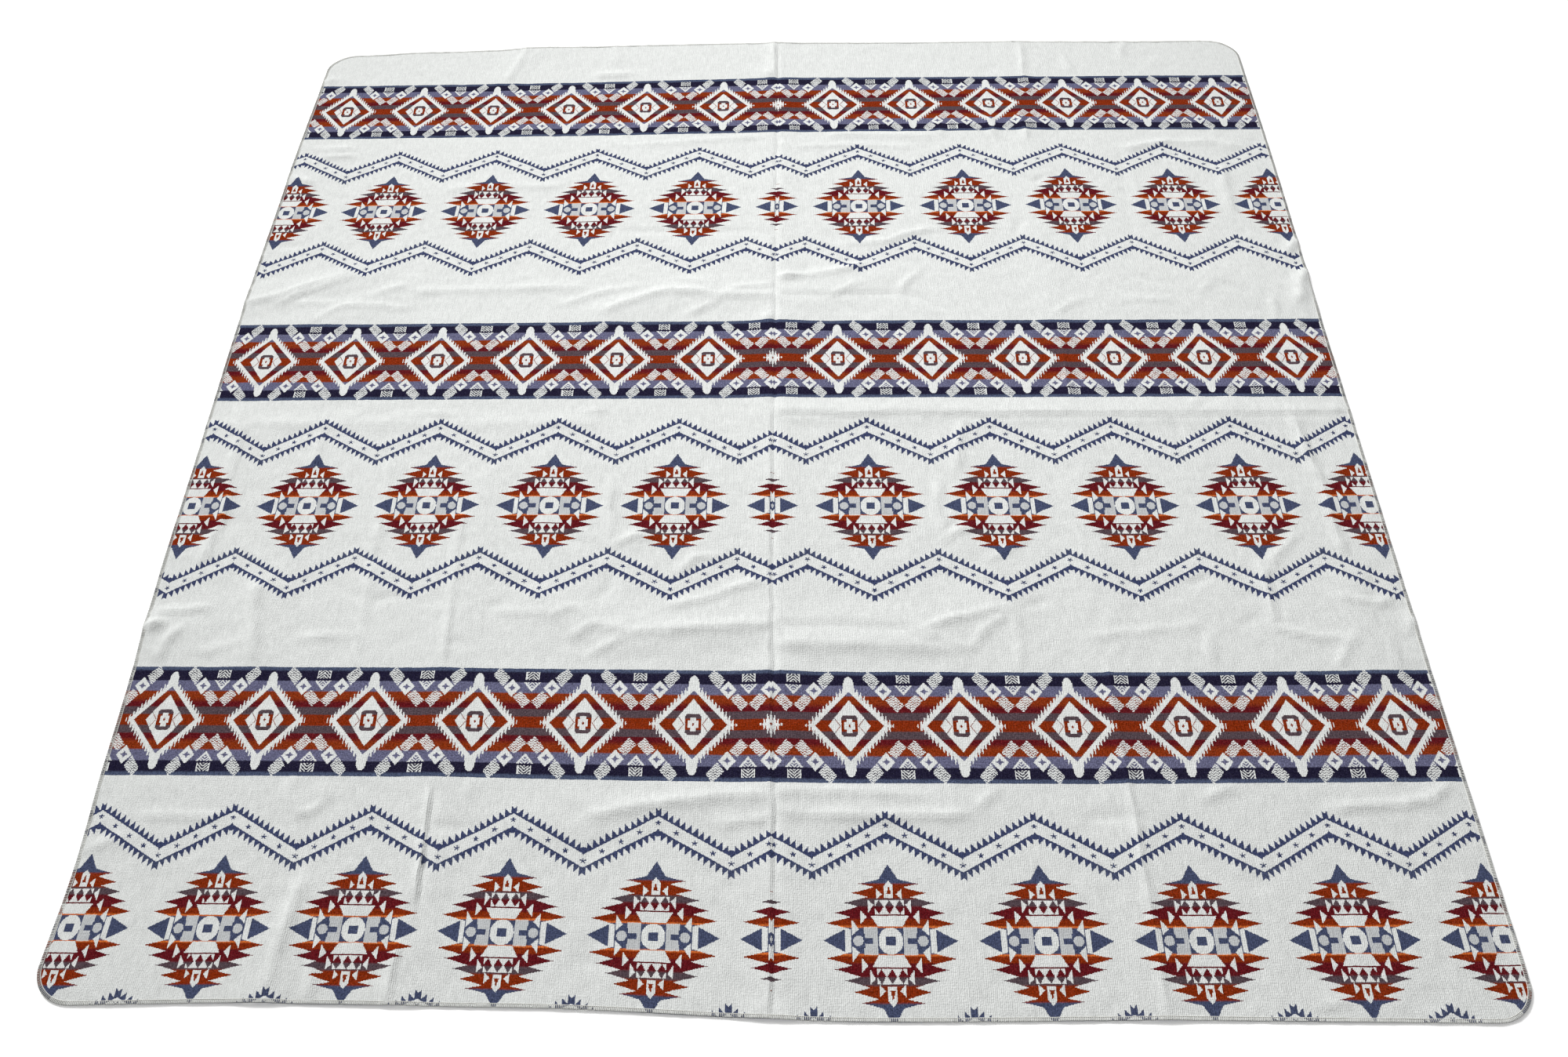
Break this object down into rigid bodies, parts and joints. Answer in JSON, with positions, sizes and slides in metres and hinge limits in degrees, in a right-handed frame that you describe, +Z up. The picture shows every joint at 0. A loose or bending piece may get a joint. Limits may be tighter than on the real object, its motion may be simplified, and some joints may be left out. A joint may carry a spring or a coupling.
{
  "type": "wool blanket",
  "caption": "Oblong wool blanket lying open and flat, with rounded corners, an overlocked edge and soft storage creases.",
  "frame": {"origin": "on the floor under the middle of the blanket's outline", "axes": "+Z up out of the floor, +Y along the blanket's length towards its far end, +X across it to the right"},
  "size_m": [2.0652, 2.3462, 0.015],
  "materials": {
    "wool_cloth": "woven wool, matt, slightly raised nap"
  },
  "bodies": {
    "root": {"blanket": "wool_cloth"}
  },
  "joints": []
}
